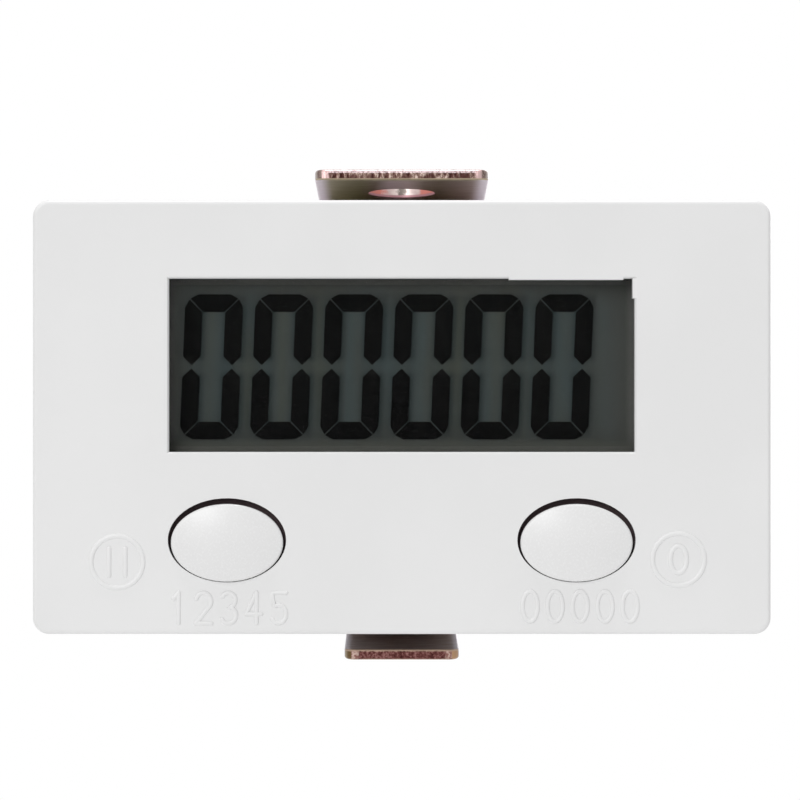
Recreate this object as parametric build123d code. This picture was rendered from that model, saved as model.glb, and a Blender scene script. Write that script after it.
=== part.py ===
from build123d import *
import math
import os

# Six digit panel counter with two buttons, a reed switch pick-up and a clamp bracket.
# Lengths are in millimetres. X runs right along the face, Y from the face into the
# case and Z up. The origin is on the back of the bezel, in the middle of its outline.

# Digits
digit_count = 6
digit_pitch = 6.51
digit_w = 5.37
digit_h = 13.45
digit_slant_deg = 2.4
segment_w = 1.62
segment_gap = 0.13
segment_tip_gap = 0.33
corner_run = 1.2
corner_cut = 0.42

# Window, which shows the digits with a margin on each side, and the display glass
window_left_margin = 1.13
window_right_margin = 3.9
window_top_margin = 1.4
window_low_margin = 1.15
window_bevel = 0.15
window_flash_t = 0.13
window_flash_l = 10.55
window_nick_w = 0.85
window_tab_w = 0.21
window_tab_l = 1.84
glass_side_margin = 1.8
glass_edge_margin = 2.5
glass_t = 1.1
glass_ledge = 2.2
polariser_margin = 0.8
polariser_t = 0.2
reflector_t = 0.3
seal_w = 0.8
cell_gap = 0.1

# Display holder and connector strips
holder_wall = 0.8
holder_edge_wall = 0.6
holder_rear_depth = 4.7
holder_fit = 0.1
holder_shelf = 1.0
strip_t = 1.2
strip_end_margin = 1.3
strip_inset = 0.1
strip_fit = 0.05

# Buttons
button_spacing = 32.2
cap_w = 10.35
cap_h = 7.15
cap_wall = 1.0
cap_proud = 0.7
cap_dome_r = 21.0
cap_edge_r = 0.25
cap_flange = 1.0
cap_flange_t = 0.8
cap_foot_r = 1.6
cap_play = 0.05
button_hole_play_w = 0.55
button_hole_play_h = 0.6
button_sag = 0.23
button_travel = 0.4

# Push switches
switch_side = 6.0
switch_base_t = 3.1
switch_cover_t = 0.3
switch_plunger_proud = 1.6
switch_plunger_r = 1.75
switch_plunger_play = 0.1
switch_collar_r = 2.2
switch_collar_t = 0.8
switch_well_play = 0.15
switch_dome_t = 0.1
switch_floor_t = 1.1
switch_rivet_r = 0.4
switch_rivet_inset = 0.7
terminal_w = 0.7
terminal_t = 0.3
terminal_spread = 2.25
terminal_rise = 1.0
terminal_reach = 0.8
terminal_hole_play = 0.12

# Case walls and bezel
bezel_t = 2.2
bezel_lip = 2.0
face_corner_r = 1.5
face_edge_r = 0.4
body_corner_r = 2.0
rear_edge_r = 0.5
seam_chamfer = 0.2
wall = 1.6
front_wall = 1.2
lap_depth = 1.4
lap_root = 1.0
lap_t = 0.8
lap_fit = 0.1

# Room left between the pieces inside
holder_top_gap = 0.42
flange_top_gap = 0.58
flange_floor_gap = 0.25
boss_side_gap = 0.625
board_edge_gap = 0.4
board_back_gap = 1.6

# Case screws and their bosses
boss_r = 3.0
boss_inset = 2.6
boss_floor = 3.0
boss_relief = 0.4
pilot_depth = 7.0
case_screw_r = 0.95
case_screw_l = 9.0
case_screw_head_r = 1.9
case_screw_head_t = 1.3
screw_thread_play = 0.05
screw_hole_play = 0.3
screw_head_play = 0.2
drive_slot_w = 0.45
drive_slot_depth = 0.6
drive_slot_margin = 0.5

# Board, its screws and posts
board_t = 1.2
post_r = 1.9
post_low_inset = 2.8
post_floor = 1.0
board_screw_r = 0.75
board_screw_l = 5.0
board_screw_head_r = 1.6
board_screw_head_t = 1.1
rib_t = 0.8
rib_l = 6.0
rib_depth = 2.0

# Parts on the back of the board
blob_r = 4.5
blob_h = 1.4
crystal_r = 1.0
crystal_l = 6.0
crystal_lead_r = 0.15
crystal_lead_l = 1.6
crystal_lead_spread = 0.7
filter_r = 2.0
filter_h = 5.0
filter_edge_r = 0.3
chip_l = 2.0
chip_w = 1.25
chip_capacitor_h = 0.8
chip_resistor_h = 0.5
chip_end_l = 0.4

# Reed switch
reed_glass_r = 1.1
reed_glass_wall = 0.3
reed_glass_l = 14.0
reed_seal_l = 2.0
reed_lead_r = 0.25
reed_lead_span = 20.0
reed_stand_off = 0.4
reed_bend_r = 0.8
reed_blade_w = 0.9
reed_blade_t = 0.2
reed_overlap = 1.2
reed_contact_gap = 0.15
lead_play = 0.05

# Cell, contacts and spring
cell_d = 10.5
cell_l = 44.5
cell_nub_r = 1.9
cell_nub_l = 0.8
cell_sleeve_t = 0.15
cell_sleeve_curl = 0.6
cell_play = 0.3
contact_t = 0.3
contact_side = 7.0
contact_tab_w = 2.0
contact_slot_play = 0.2
spring_room = 3.9
spring_wire_r = 0.3
spring_big_r = 3.2
spring_small_r = 2.2
spring_turns = 3
spring_play = 0.05

# Compartment and sliding door
tub_wall = 0.8
door_t = 1.6
door_play = 0.05
door_tongue = 0.7
door_tongue_t = 0.75
door_chamfer = 0.15
shelf_t = 1.0
grip_count = 5
grip_pitch = 1.3
grip_w = 0.5
grip_depth = 0.3
grip_l = 7.0
grip_margin = 2.0

# Stud, washer and knurled nut
stud_r = 2.0
stud_head_flats = 7.0
stud_head_t = 2.8
stud_head_cover = 1.2
stud_boss_r = 5.0
stud_tip_chamfer = 0.4
stud_spare = 1.2
washer_r = 4.5
washer_t = 0.8
washer_play = 0.15
nut_r = 6.0
nut_t = 5.0
nut_hub_r = 4.6
nut_hub_t = 1.2
nut_bore_play = 0.05
nut_chamfer = 0.4
nut_dish_depth = 0.4
nut_dish_r = 4.0
knurl_count = 24
knurl_r = 0.45

# Clamp bracket
sheet_t = 1.0
arm_flare_deg = 4.0
arm_top_gap = 4.35
arm_low_gap = 3.95
arm_top_w = 16.4
arm_low_w = 10.8
arm_corner_r = 1.0
blank_corner_r = 3.0
rolled_edge_r = 0.3
inner_edge_r = 0.15
taper_start_share = 0.42
bend_r = 1.5
panel_room = 5.0
base_gap = 3.0
clamp_travel = 2.8
bracket_hole_r = 3.25
bracket_hole_back = 9.7
bracket_stud_play = 0.25

# One overrun for every cut
over = 1.0

# Widths and heights inside the case, from what it holds
window_w = (digit_count - 1) * digit_pitch + digit_w + window_left_margin + window_right_margin
window_h = digit_h + window_top_margin + window_low_margin
glass_w = window_w + 2 * glass_side_margin
glass_h = window_h + 2 * glass_edge_margin
holder_w = glass_w + 2 * (holder_fit + holder_wall)
holder_h = glass_h + 2 * (holder_fit + holder_edge_wall)
flange_w = cap_w + 2 * cap_flange
flange_h = cap_h + 2 * cap_flange
boss_x = holder_w / 2 + boss_side_gap + boss_r
inner_w = 2 * (boss_x + boss_inset)
inner_h = holder_top_gap + holder_h + flange_top_gap + flange_h + flange_floor_gap
inner_corner_r = max(body_corner_r - wall, wall / 4)
body_w = inner_w + 2 * wall
body_h = inner_h + 2 * wall
face_w = body_w + 2 * bezel_lip
face_h = body_h + 2 * bezel_lip

# Depths, from the face to the back
face_y = -bezel_t
front_inner_y = face_y + front_wall
glass_front_y = front_inner_y + polariser_t
segment_y = glass_front_y + glass_t
rear_glass_y = segment_y + cell_gap
reflector_y = rear_glass_y + glass_t
display_back_y = reflector_y + reflector_t
board_y = display_back_y + holder_rear_depth
board_back_y = board_y + board_t
split_y = board_back_y + board_back_gap
tub_front_y = split_y + tub_wall
cell_y = tub_front_y + cell_play + cell_d / 2
door_y = cell_y + cell_d / 2 + cell_play
rear_y = door_y + door_t

# Heights
window_z = inner_h / 2 - holder_top_gap - holder_h / 2
cap_z = -inner_h / 2 + flange_floor_gap + flange_h / 2
hole_z = cap_z + button_sag
cell_z = -inner_h / 2 + cell_play + cell_d / 2
tub_low_z = -inner_h / 2
tub_top_z = cell_z + cell_d / 2 + cell_play
boss_top_z = inner_h / 2 - boss_inset
boss_low_z = tub_top_z + tub_wall + boss_r
strip_offset_z = glass_h / 2 - strip_inset - strip_t / 2

# Cell compartment, left to right
tub_l = cell_l + spring_room + 2 * contact_t
tub_left_x = -tub_l / 2
tub_right_x = tub_l / 2
cell_left_x = tub_left_x + contact_t
cell_right_x = cell_left_x + cell_l

# Push switch depths
switch_base_y = board_y - switch_base_t
switch_cover_y = switch_base_y - switch_cover_t
plunger_y = switch_cover_y - switch_plunger_proud
switch_floor_y = board_y - switch_floor_t

# Clamp depths
base_y = rear_y + base_gap
base_back_y = base_y + sheet_t
washer_back_y = base_back_y + washer_t
nut_back_y = washer_back_y + nut_t
stud_end_y = nut_back_y + clamp_travel + stud_spare
stud_head_back_y = rear_y - stud_head_cover
stud_head_y = stud_head_back_y - stud_head_t

button_places = {"pause": -button_spacing / 2, "reset": button_spacing / 2}
boss_places = [(x, z) for x in (-boss_x, boss_x) for z in (boss_low_z, boss_top_z)]
post_heights = (-inner_h / 2 + post_low_inset, (boss_low_z + boss_top_z) / 2)
post_places = [(x, z) for x in (-boss_x, boss_x) for z in post_heights]


def slab(shape, front, back):
    """Carries a flat shape, drawn in x and z, from one depth to another."""
    plane = Plane((0, back, 0), x_dir=(1, 0, 0), z_dir=(0, -1, 0))
    return extrude(plane * shape, amount=back - front)


def rod(radius, front, back, x=0, z=0):
    """A round bar along the depth."""
    return slab(Pos(x, z) * Circle(radius), front, back)


def block(left, right, front, back, low, high):
    """A box between six coordinates."""
    middle = Pos((left + right) / 2, (front + back) / 2, (low + high) / 2)
    return middle * Box(right - left, back - front, high - low)


def cross_bar(radius, left, right, y, z):
    """A round bar from left to right."""
    return Pos((left + right) / 2, y, z) * Rot(0, 90, 0) * Cylinder(radius, right - left)


def rounded(width, height, radius):
    return RectangleRounded(width, height, radius)


def save(name, piece):
    """Writes one named piece, or one group of like pieces."""
    if isinstance(piece, list):
        piece = Compound(children=piece)
    export_step(piece, "parts/" + name + ".step")


def front_shell():
    """Bezel and short body in one moulding, with bosses, posts and locating ribs."""
    bezel = slab(rounded(face_w, face_h, face_corner_r), face_y, 0)
    bezel = fillet(bezel.faces().sort_by(Axis.Y)[0].edges(), face_edge_r)
    body = slab(rounded(body_w, body_h, body_corner_r), 0, split_y)
    body = chamfer(body.faces().sort_by(Axis.Y)[-1].edges(), seam_chamfer)
    shell = bezel + body
    shell -= slab(rounded(inner_w, inner_h, inner_corner_r), front_inner_y, split_y + over)
    for x, z in boss_places:
        shell += rod(boss_r, front_inner_y, split_y, x, z)
        shell -= rod(case_screw_r + screw_thread_play, split_y - pilot_depth, split_y + over, x, z)
    for x, z in post_places:
        shell += rod(post_r, front_inner_y, board_y, x, z)
        shell -= rod(board_screw_r + screw_thread_play, front_inner_y + post_floor,
                     board_y + over, x, z)
    rib_x = holder_w / 2 + holder_fit
    rib_back_y = front_inner_y + rib_depth
    for side in (-1, 1):
        outer = side * (rib_x + rib_t)
        inner = side * rib_x
        shell += block(min(outer, inner), max(outer, inner), front_inner_y, rib_back_y,
                       window_z - rib_l / 2, window_z + rib_l / 2)
    rib_z = window_z - holder_h / 2 - holder_fit
    shell += block(-rib_l / 2, rib_l / 2, front_inner_y, rib_back_y, rib_z - rib_t, rib_z)
    shell -= slab(Pos(0, window_z) * Rectangle(window_w, window_h), face_y - over,
                  front_inner_y + over)
    rim = [edge for edge in shell.faces().sort_by(Axis.Y)[0].edges()
           if abs(edge.center().X) < window_w / 2 + window_bevel
           and abs(edge.center().Z - window_z) < window_h / 2 + window_bevel]
    shell = chamfer(rim, window_bevel)
    right = window_w / 2
    top = window_z + window_h / 2
    flash_end = right - window_tab_w - window_nick_w
    shell += block(flash_end - window_flash_l, flash_end, face_y, front_inner_y,
                   top - window_flash_t, top + window_bevel)
    shell += block(right - window_tab_w, right + window_bevel, face_y, front_inner_y,
                   top - window_tab_l, top)
    for x in button_places.values():
        hole = Ellipse(cap_w / 2 + button_hole_play_w / 2, cap_h / 2 + button_hole_play_h / 2)
        shell -= slab(Pos(x, hole_z) * hole, face_y - over, front_inner_y + over)
    return shell


def rear_case():
    """Rear moulding: skirt with a lap, screw tubes, cell tub, door track, stud boss."""
    outer = slab(rounded(body_w, body_h, body_corner_r), split_y, rear_y)
    outer = fillet(outer.faces().sort_by(Axis.Y)[-1].edges(), rear_edge_r)
    outer = chamfer(outer.faces().sort_by(Axis.Y)[0].edges(), seam_chamfer)
    case = outer - slab(rounded(inner_w, inner_h, inner_corner_r), split_y - over, door_y)
    lap_w = inner_w - 2 * lap_fit
    lap_h = inner_h - 2 * lap_fit
    hollow = rounded(lap_w - 2 * lap_t, lap_h - 2 * lap_t, inner_corner_r)
    lap = slab(rounded(lap_w, lap_h, inner_corner_r), split_y - lap_depth, split_y)
    lap += slab(rounded(inner_w, inner_h, inner_corner_r), split_y, split_y + lap_root)
    lap -= slab(hollow, split_y - lap_depth - over, split_y + lap_root + over)
    for x, z in boss_places:
        lap -= rod(boss_r + boss_relief, split_y - lap_depth - over, split_y, x, z)
    case += lap
    for x, z in boss_places:
        case += rod(boss_r, split_y, door_y, x, z)
    case += block(tub_left_x - tub_wall, tub_right_x + tub_wall, split_y, door_y,
                  tub_low_z, tub_top_z + tub_wall)
    case += block(tub_right_x, inner_w / 2, door_y - shelf_t, door_y,
                  tub_low_z, tub_top_z + tub_wall)
    boss = rod(stud_boss_r, stud_head_y - stud_head_cover, door_y)
    case += boss
    case -= block(tub_left_x, tub_right_x, tub_front_y, rear_y + over, tub_low_z, tub_top_z)
    for x, z in boss_places:
        case -= rod(case_screw_r + screw_hole_play, split_y - over, rear_y + over, x, z)
        case -= rod(case_screw_head_r + screw_head_play, split_y + boss_floor,
                    rear_y + over, x, z)
    case -= block(tub_left_x, body_w / 2 + over, door_y, rear_y + over, tub_low_z, tub_top_z)
    case -= block(tub_left_x - door_tongue, body_w / 2 + over, door_y,
                  door_y + door_tongue_t + 2 * door_play,
                  tub_low_z - door_tongue, tub_top_z + door_tongue)
    slot_t = contact_t + contact_slot_play
    slot_half = contact_tab_w / 2 + contact_slot_play
    for left in (tub_left_x, tub_right_x - slot_t):
        case -= block(left, left + slot_t, split_y - over, tub_front_y + over,
                      cell_z - slot_half, cell_z + slot_half)
    head = RegularPolygon(stud_head_flats / 2, 6, major_radius=False)
    case -= slab(head, stud_head_y, stud_head_back_y)
    case -= rod(stud_r, stud_head_y, rear_y + over)
    return case


def battery_door():
    """Plate that slides in its track, with tongues along three edges and a finger grip."""
    right = body_w / 2
    door = block(tub_left_x + door_play, right, door_y + door_play, rear_y,
                 tub_low_z + door_play, tub_top_z - door_play)
    corner = [edge for edge in door.edges().filter_by(Axis.Z)
              if edge.center().X > right - door_play and edge.center().Y > rear_y - door_play]
    door = fillet(corner, rear_edge_r)
    rim = [edge for edge in door.faces().sort_by(Axis.Y)[-1].edges()
           if edge.center().X < right - rear_edge_r - door_play]
    door = chamfer(rim, door_chamfer)
    door += block(tub_left_x - door_tongue + door_play, right, door_y + door_play,
                  door_y + door_play + door_tongue_t,
                  tub_low_z - door_tongue + door_play, tub_top_z + door_tongue - door_play)
    middle_z = (tub_low_z + tub_top_z) / 2
    for step in range(grip_count):
        x = right - grip_margin - step * grip_pitch
        door -= block(x - grip_w, x, rear_y - grip_depth, rear_y + over,
                      middle_z - grip_l / 2, middle_z + grip_l / 2)
    return door


def button_cap(x):
    """Oval cap with a domed crown, a retaining flange, a hollow back and a foot."""
    crown_y = face_y - cap_proud
    flange_y = front_inner_y + cap_play
    flange_back_y = flange_y + cap_flange_t
    place = Pos(x, cap_z)
    cap = slab(place * Ellipse(cap_w / 2, cap_h / 2), crown_y - over, flange_back_y)
    cap &= Pos(x, crown_y + cap_dome_r, cap_z) * Sphere(cap_dome_r)
    cap = fillet(cap.faces().sort_by(Axis.Y)[0].edges(), cap_edge_r)
    cap += slab(place * Ellipse(flange_w / 2, flange_h / 2), flange_y, flange_back_y)
    hollow = Ellipse(cap_w / 2 - cap_wall, cap_h / 2 - cap_wall)
    cap -= slab(place * hollow, crown_y + cap_wall, flange_back_y + over)
    return cap + rod(cap_foot_r, crown_y + cap_wall, plunger_y, x, cap_z)


def display_holder():
    """Frame that carries the glass and lets the connector strips through."""
    place = Pos(0, window_z)
    frame = slab(place * Rectangle(holder_w, holder_h), front_inner_y, board_y)
    front_pocket = Rectangle(glass_w + 2 * holder_fit, glass_h + 2 * holder_fit)
    frame -= slab(place * front_pocket, front_inner_y - over, segment_y)
    rear_h = glass_h - 2 * glass_ledge
    rear_pocket = Rectangle(glass_w + 2 * holder_fit, rear_h + 2 * holder_fit)
    frame -= slab(place * rear_pocket, segment_y - over, display_back_y)
    well = Rectangle(glass_w - 2 * holder_shelf, rear_h - 2 * holder_shelf)
    frame -= slab(place * well, display_back_y - over, board_y + over)
    slot = Rectangle(glass_w - 2 * strip_end_margin + 2 * strip_fit, strip_t + 2 * strip_fit)
    for side in (-1, 1):
        z = window_z + side * strip_offset_z
        frame -= slab(Pos(0, z) * slot, segment_y - over, board_y + over)
    return frame


def connector_strip(side):
    """Rubber strip from the glass ledge to the pads of the board."""
    strip = Rectangle(glass_w - 2 * strip_end_margin, strip_t)
    return slab(Pos(0, window_z + side * strip_offset_z) * strip, segment_y, board_y)


def display_sheets():
    """Polariser, two glasses, edge seal and reflector, from front to back."""
    place = Pos(0, window_z)
    rear_h = glass_h - 2 * glass_ledge
    film = Rectangle(window_w + 2 * polariser_margin, window_h + 2 * polariser_margin)
    ring = Rectangle(glass_w, rear_h) - Rectangle(glass_w - 2 * seal_w, rear_h - 2 * seal_w)
    return {
        "lcd_front_polariser": slab(place * film, front_inner_y, glass_front_y),
        "lcd_front_glass": slab(place * Rectangle(glass_w, glass_h), glass_front_y, segment_y),
        "lcd_seal": slab(place * ring, segment_y, rear_glass_y),
        "lcd_rear_glass": slab(place * Rectangle(glass_w, rear_h), rear_glass_y, reflector_y),
        "lcd_reflector": slab(place * Rectangle(glass_w, rear_h), reflector_y, display_back_y),
    }


def segment_outlines():
    """The six lit segments of one nought, upright about its own middle."""
    half_w = digit_w / 2
    half_h = digit_h / 2
    shift = segment_gap / math.sqrt(2)
    tilt = shift / corner_run
    far = corner_cut + (corner_run - corner_cut) * tilt
    near = corner_cut * (1 - tilt)
    inner = half_w - segment_w
    bar = [(inner - shift, half_h - segment_w), (half_w - far, half_h - near),
           (half_w - corner_run, half_h)]
    bar += [(-x, z) for x, z in reversed(bar)]
    tip = segment_tip_gap / 2
    post = [(inner, half_h - segment_w - shift), (half_w - near, half_h - far),
            (half_w, half_h - corner_run), (half_w, tip + segment_w / 2),
            (half_w - segment_w / 2, tip), (inner, tip + segment_w / 2)]
    outlines = [bar, [(x, -z) for x, z in bar]]
    for side in (-1, 1):
        outlines += [[(side * x, end * z) for x, z in post] for end in (-1, 1)]
    return outlines


def segments():
    """Lit segments of all digits, leaning to the right, in the gap between the glasses."""
    lean = math.tan(math.radians(digit_slant_deg))
    first_x = -window_w / 2 + window_left_margin + digit_w / 2
    z = window_z - window_h / 2 + window_low_margin + digit_h / 2
    pieces = []
    for digit in range(digit_count):
        for outline in segment_outlines():
            points = [(px + pz * lean, pz) for px, pz in outline]
            shape = make_face(Polyline(*points, close=True))
            place = Pos(first_x + digit * digit_pitch, z)
            pieces.append(slab(place * shape, segment_y, rear_glass_y))
    return pieces


def push_switch(x):
    """Base, cover, plunger, dome and four terminals of one board switch."""
    place = Pos(x, cap_z)
    square = place * Rectangle(switch_side, switch_side)
    well_r = switch_collar_r + switch_well_play
    base = slab(square, switch_base_y, board_y)
    base -= rod(well_r, switch_base_y - over, switch_floor_y, x, cap_z)
    cover = slab(square, switch_cover_y, switch_base_y)
    cover -= rod(switch_plunger_r + switch_plunger_play, switch_cover_y - over,
                 switch_base_y + over, x, cap_z)
    reach = switch_side / 2 - switch_rivet_inset
    for dx in (-reach, reach):
        for dz in (-reach, reach):
            cover += rod(switch_rivet_r, switch_cover_y - switch_cover_t / 2, switch_base_y,
                         x + dx, cap_z + dz)
    collar_y = switch_base_y + switch_plunger_play / 2
    collar_back_y = collar_y + switch_collar_t
    plunger = rod(switch_plunger_r, plunger_y, collar_back_y, x, cap_z)
    plunger += rod(switch_collar_r, collar_y, collar_back_y, x, cap_z)
    dome_h = switch_floor_y - collar_back_y - button_travel - switch_plunger_play
    dome_ball_r = (switch_collar_r ** 2 + dome_h ** 2) / (2 * dome_h)
    ball_y = switch_floor_y - dome_h + dome_ball_r
    dome = Pos(x, ball_y, cap_z) * (Sphere(dome_ball_r) - Sphere(dome_ball_r - switch_dome_t))
    dome &= rod(switch_collar_r + over, switch_floor_y - dome_h - over, switch_floor_y, x, cap_z)
    terminals = []
    for side in (-1, 1):
        inner = x + side * switch_side / 2
        outer = inner + side * terminal_t
        for dz in (-terminal_spread, terminal_spread):
            terminals.append(block(min(inner, outer), max(inner, outer),
                                   board_y - terminal_rise, board_back_y + terminal_reach,
                                   cap_z + dz - terminal_w / 2, cap_z + dz + terminal_w / 2))
    return {"base": base, "cover": cover, "plunger": plunger, "dome": dome}, terminals


def terminal_places():
    """Middles of the terminals, where the board has its holes."""
    reach = (switch_side + terminal_t) / 2
    return [(x + dx, cap_z + dz) for x in button_places.values()
            for dx in (-reach, reach) for dz in (-terminal_spread, terminal_spread)]


# Places on the back of the board, as shares of its half width and half height
reed_z_share = 0.73
blob_share = (0.0, 0.26)
crystal_share = (0.42, 0.22)
filter_share = (-0.42, 0.22)
capacitor_shares = [(-0.25, 0.42), (-0.25, 0.05), (0.27, 0.05), (0.27, 0.42)]
resistor_shares = [(-0.62, 0.3), (-0.62, 0.1), (0.72, 0.3), (0.72, 0.1)]

board_w = inner_w - 2 * board_edge_gap
board_h = inner_h - 2 * board_edge_gap
reed_y = board_back_y + reed_stand_off + reed_glass_r
reed_z = board_h / 2 * reed_z_share


def on_board(share):
    """A place on the board from its share of the half width and half height."""
    return board_w / 2 * share[0], board_h / 2 * share[1]


def circuit_board():
    """Board cut round the case bosses, drilled for screws and leads."""
    board = slab(rounded(board_w, board_h, board_edge_gap), board_y, board_back_y)
    front = board_y - over
    back = board_back_y + over
    reach = boss_r + boss_relief
    for x, z in boss_places:
        edge_x = math.copysign(inner_w / 2, x)
        edge_z = inner_h / 2 if z > boss_low_z else z + reach
        notch_x = x - math.copysign(reach, x)
        board -= block(min(notch_x, edge_x), max(notch_x, edge_x), front, back,
                       z - reach, edge_z)
    for x, z in post_places:
        board -= rod(board_screw_r + screw_hole_play / 2, front, back, x, z)
    drill_r = math.hypot(terminal_w, terminal_t) / 2 + terminal_hole_play
    for x, z in terminal_places():
        board -= rod(drill_r, front, back, x, z)
    for side in (-1, 1):
        board -= rod(reed_lead_r + lead_play, front, back, side * reed_lead_span / 2, reed_z)
    return board


def controller_blob():
    """Low dome of resin over the controller."""
    x, z = on_board(blob_share)
    ball_r = (blob_r ** 2 + blob_h ** 2) / (2 * blob_h)
    dome = Pos(x, board_back_y + blob_h - ball_r, z) * Sphere(ball_r)
    return dome & rod(blob_r + over, board_back_y, board_back_y + blob_h + over, x, z)


def timing_crystal():
    """Small round can lying on the board with its two leads."""
    x, z = on_board(crystal_share)
    y = board_back_y + crystal_r
    can = cross_bar(crystal_r, x, x + crystal_l, y, z)
    leads = []
    for side in (-1, 1):
        lead_z = z + side * crystal_lead_spread / 2
        leads.append(cross_bar(crystal_lead_r, x - crystal_lead_l, x, y, lead_z)
                     + rod(crystal_lead_r, board_back_y, y, x - crystal_lead_l, lead_z))
    return [can] + leads


def filter_capacitor():
    x, z = on_board(filter_share)
    can = rod(filter_r, board_back_y, board_back_y + filter_h, x, z)
    return fillet(can.edges(), filter_edge_r)


def board_chips(shares, height):
    """Small block parts, each a body between two end caps."""
    pieces = []
    for share in shares:
        x, z = on_board(share)
        half = chip_l / 2
        cuts = (x - half, x - half + chip_end_l, x + half - chip_end_l, x + half)
        for left, right in zip(cuts, cuts[1:]):
            pieces.append(block(left, right, board_back_y, board_back_y + height,
                                z - chip_w / 2, z + chip_w / 2))
    return pieces


def reed_switch():
    """Sealed glass tube and the two leads whose blades nearly meet inside it."""
    half = reed_glass_l / 2
    chamber = half - reed_seal_l
    glass = cross_bar(reed_glass_r, -half, half, reed_y, reed_z)
    glass = fillet(glass.edges(), reed_glass_wall)
    glass -= cross_bar(reed_glass_r - reed_glass_wall, -chamber, chamber, reed_y, reed_z)
    glass -= cross_bar(reed_lead_r, -half - over, half + over, reed_y, reed_z)
    leads = []
    for side in (-1, 1):
        bend_x = side * reed_lead_span / 2
        route = FilletPolyline((side * chamber, reed_y, reed_z), (bend_x, reed_y, reed_z),
                               (bend_x, board_y, reed_z), radius=reed_bend_r)
        start = Plane(origin=route @ 0, z_dir=route % 0)
        lead = sweep(start * Circle(reed_lead_r), path=route)
        tip_x = -side * reed_overlap / 2
        blade_y = reed_y + side * (reed_contact_gap + reed_blade_t) / 2
        blade = block(min(tip_x, side * chamber), max(tip_x, side * chamber),
                      blade_y - reed_blade_t / 2, blade_y + reed_blade_t / 2,
                      reed_z - reed_blade_w / 2, reed_z + reed_blade_w / 2)
        leads.append(lead + blade)
    return glass, leads


def battery_cell():
    """Steel can with its nub, and the sleeve curled over both shoulders."""
    can_r = cell_d / 2 - cell_sleeve_t
    shoulder_x = cell_left_x + cell_nub_l
    can = cross_bar(can_r, shoulder_x + cell_sleeve_t, cell_right_x - cell_sleeve_t,
                    cell_y, cell_z)
    can += cross_bar(cell_nub_r, cell_left_x, shoulder_x + cell_play, cell_y, cell_z)
    can += cross_bar(can_r - cell_sleeve_curl, cell_right_x - cell_play, cell_right_x,
                     cell_y, cell_z)
    sleeve = cross_bar(cell_d / 2, shoulder_x, cell_right_x, cell_y, cell_z)
    sleeve -= cross_bar(can_r, shoulder_x + cell_sleeve_t, cell_right_x - cell_sleeve_t,
                        cell_y, cell_z)
    sleeve -= cross_bar(can_r - cell_sleeve_curl, shoulder_x - over, cell_right_x + over,
                        cell_y, cell_z)
    return can, sleeve


def battery_contact(left):
    """Flat contact at one end of the tub, with a tab to the board."""
    half = contact_side / 2
    plate = block(left, left + contact_t, cell_y - half, cell_y + half,
                  cell_z - half, cell_z + half)
    return plate + block(left, left + contact_t, board_back_y, cell_y,
                         cell_z - contact_tab_w / 2, cell_z + contact_tab_w / 2)


def battery_spring():
    """Tapered coil between the cell and its contact, as one unbroken wire."""
    rise = spring_room - 2 * (spring_wire_r + spring_play)
    cone = math.degrees(math.atan((spring_big_r - spring_small_r) / rise))
    path = Helix(pitch=rise / spring_turns, height=rise, radius=spring_small_r,
                 cone_angle=cone)
    start = Plane(origin=path @ 0, z_dir=path % 0)
    coil = sweep(start * Circle(spring_wire_r), path=path, is_frenet=True)
    print("coil spring, least gap between turns",
          round(rise / spring_turns / math.cos(math.radians(cone)) - 2 * spring_wire_r, 2))
    return Pos(cell_right_x + spring_wire_r + spring_play, cell_y, cell_z) * Rot(0, 90, 0) * coil


def tapping_screw(x, z, seat, radius, length, head_r, head_t):
    """Screw driven from behind, its head resting on the seat."""
    screw = rod(head_r, seat, seat + head_t, x, z) + rod(radius, seat - length, seat, x, z)
    reach = head_r - drive_slot_margin
    for long_x, long_z in ((reach, drive_slot_w / 2), (drive_slot_w / 2, reach)):
        screw -= block(x - long_x, x + long_x, seat + head_t - drive_slot_depth,
                       seat + head_t + over, z - long_z, z + long_z)
    return screw


def clamp_stud():
    """Threaded stud with its head moulded into the rear case."""
    head = RegularPolygon(stud_head_flats / 2, 6, major_radius=False)
    shank = rod(stud_r, stud_head_y, stud_end_y)
    shank = chamfer(shank.faces().sort_by(Axis.Y)[-1].edges(), stud_tip_chamfer)
    return shank + slab(head, stud_head_y, stud_head_back_y)


def clamp_washer():
    return (rod(washer_r, base_back_y, washer_back_y)
            - rod(stud_r + washer_play, base_back_y - over, washer_back_y + over))


def clamp_nut():
    """Knurled round nut with a plain hub against the washer and a dished back."""
    grip = rod(nut_r, washer_back_y + nut_hub_t, nut_back_y)
    grip = chamfer(grip.edges().filter_by(GeomType.CIRCLE), nut_chamfer)
    for step in range(knurl_count):
        turn = 2 * math.pi * step / knurl_count
        grip -= rod(knurl_r, washer_back_y, nut_back_y + over,
                    nut_r * math.cos(turn), nut_r * math.sin(turn))
    nut = grip + rod(nut_hub_r, washer_back_y, washer_back_y + nut_hub_t)
    nut -= rod(nut_dish_r, nut_back_y - nut_dish_depth, nut_back_y + over)
    return nut - rod(stud_r + nut_bore_play, washer_back_y - over, nut_back_y + over)


def skin_rim(strip, side):
    """Edges round the outer skin of the bent strip, side 1, or the inner one, side -1."""
    middle = Vector(0, base_y / 2, 0)
    edges = []
    for face in strip.faces():
        normal = face.normal_at(face.center())
        flat_across = abs(normal.X) < math.sin(math.radians(arm_flare_deg / 4))
        if (flat_across and face.center().Y > panel_room + sheet_t
                and side * normal.dot(face.center() - middle) > 0):
            edges += face.edges()
    return [edge for edge in edges if sum(edge.is_same(other) for other in edges) == 1]


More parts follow.
